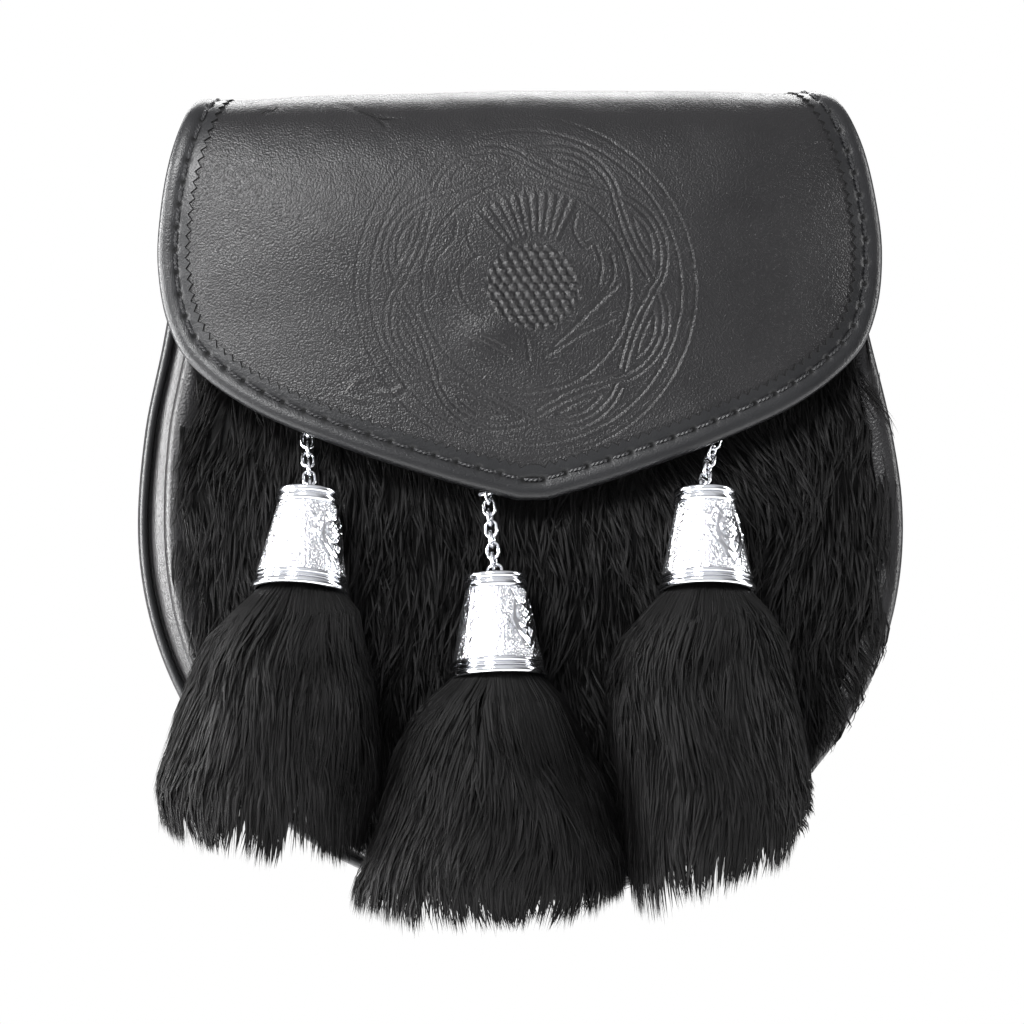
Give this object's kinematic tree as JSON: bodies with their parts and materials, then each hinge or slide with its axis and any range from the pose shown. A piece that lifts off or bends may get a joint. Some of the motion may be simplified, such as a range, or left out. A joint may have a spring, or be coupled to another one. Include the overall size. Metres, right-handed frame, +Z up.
{
  "type": "sporran pouch",
  "caption": "Black leather sporran pouch with a domed flap, a fur front and fur tassels in metal cones on chains.",
  "frame": {"origin": "middle of the strap that carries the pouch, between the two belt loops on its back", "axes": "+Z up as worn, -Y towards the front of the pouch, +X to the right seen from the front"},
  "size_m": [0.1893, 0.0831, 0.2077],
  "materials": {
    "leather": "semi-gloss black, finely grained",
    "border_leather": "smooth black",
    "fur": "black rabbit fur",
    "chrome": "bright plated"
  },
  "bodies": {
    "root": {"back_panel": "leather", "back_piping": "border_leather", "belt_loop_left": "leather", "belt_loop_right": "leather", "chain_link_centre_1": "chrome", "chain_link_centre_2": "chrome", "chain_link_centre_3": "chrome", "chain_link_centre_4": "chrome", "chain_link_centre_5": "chrome", "chain_link_centre_6": "chrome", "chain_link_centre_7": "chrome", "chain_link_left_1": "chrome", "chain_link_left_2": "chrome", "chain_link_left_3": "chrome", "chain_link_left_4": "chrome", "chain_link_left_5": "chrome", "chain_link_left_6": "chrome", "chain_link_right_1": "chrome", "chain_link_right_2": "chrome", "chain_link_right_3": "chrome", "chain_link_right_4": "chrome", "chain_link_right_5": "chrome", "chain_link_right_6": "chrome", "chain_link_right_7": "chrome", "chain_link_right_8": "chrome", "chain_staple_centre": "chrome", "chain_staple_left": "chrome", "chain_staple_right": "chrome", "flap": "leather", "flap_binding": "border_leather", "flap_stud": "chrome", "front_border": "border_leather", "front_panel": "leather", "fur_front": "fur", "gusset": "leather", "tassel_cone_centre": "chrome", "tassel_cone_left": "chrome", "tassel_cone_right": "chrome", "tassel_fur_centre": "fur", "tassel_fur_left": "fur", "tassel_fur_right": "fur"}
  },
  "joints": []
}
